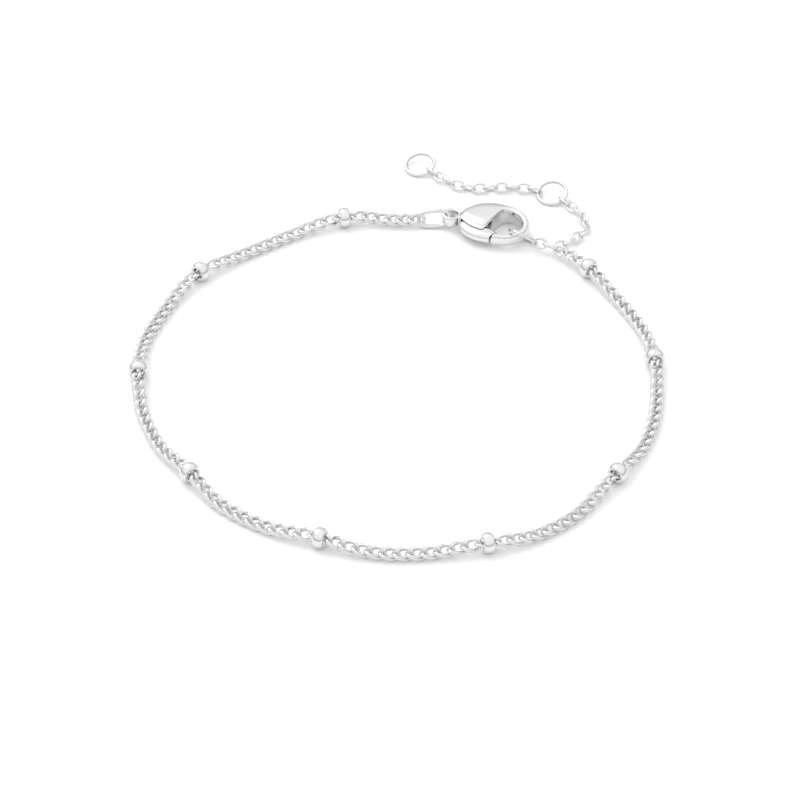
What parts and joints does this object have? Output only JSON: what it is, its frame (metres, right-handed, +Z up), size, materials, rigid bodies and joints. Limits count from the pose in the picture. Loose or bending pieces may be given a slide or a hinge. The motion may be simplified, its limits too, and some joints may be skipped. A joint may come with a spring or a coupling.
{
  "type": "beaded chain bracelet",
  "caption": "Fine curb chain bracelet with spaced rondelle beads, a lobster clasp with a sprung lever, and a short cable chain extension with size rings, lying closed.",
  "frame": {"origin": "middle of the box around the bracelet as it lies, on the surface that it lies on", "axes": "+Z up from the surface; +Y from the plain chain at the front to the clasp at the back; +X to the right"},
  "size_m": [0.0551, 0.0642, 0.0027],
  "materials": {
    "chain_silver": "polished silver",
    "bead_silver": "polished silver",
    "clasp_silver": "polished silver",
    "ring_silver": "polished silver"
  },
  "bodies": {
    "bracelet": {"bead_1": "bead_silver", "bead_2": "bead_silver", "bead_3": "bead_silver", "bead_4": "bead_silver", "bead_5": "bead_silver", "bead_6": "bead_silver", "bead_7": "bead_silver", "bead_8": "bead_silver", "bead_9": "bead_silver", "cable_chain_at_clasp": "chain_silver", "cable_chain_far": "chain_silver", "cable_chain_near": "chain_silver", "clasp_body": "clasp_silver", "clasp_rivet": "clasp_silver", "curb_chain_left": "chain_silver", "curb_chain_right": "chain_silver", "jump_ring": "ring_silver", "size_ring_at_clasp": "ring_silver", "size_ring_end": "ring_silver", "size_ring_middle": "ring_silver"},
    "clasp_lever": {"clasp_lever": "clasp_silver"}
  },
  "joints": [
    {"name": "lever_hinge", "type": "hinge", "parent": "bracelet", "child": "clasp_lever", "pos_m": [0.00796, 0.01871, 0.00115], "axis": [0, 0, 1], "range_deg": [0, 20], "stiffness_Nm_per_rad": 0.005, "springref_deg": -5.73}
  ]
}
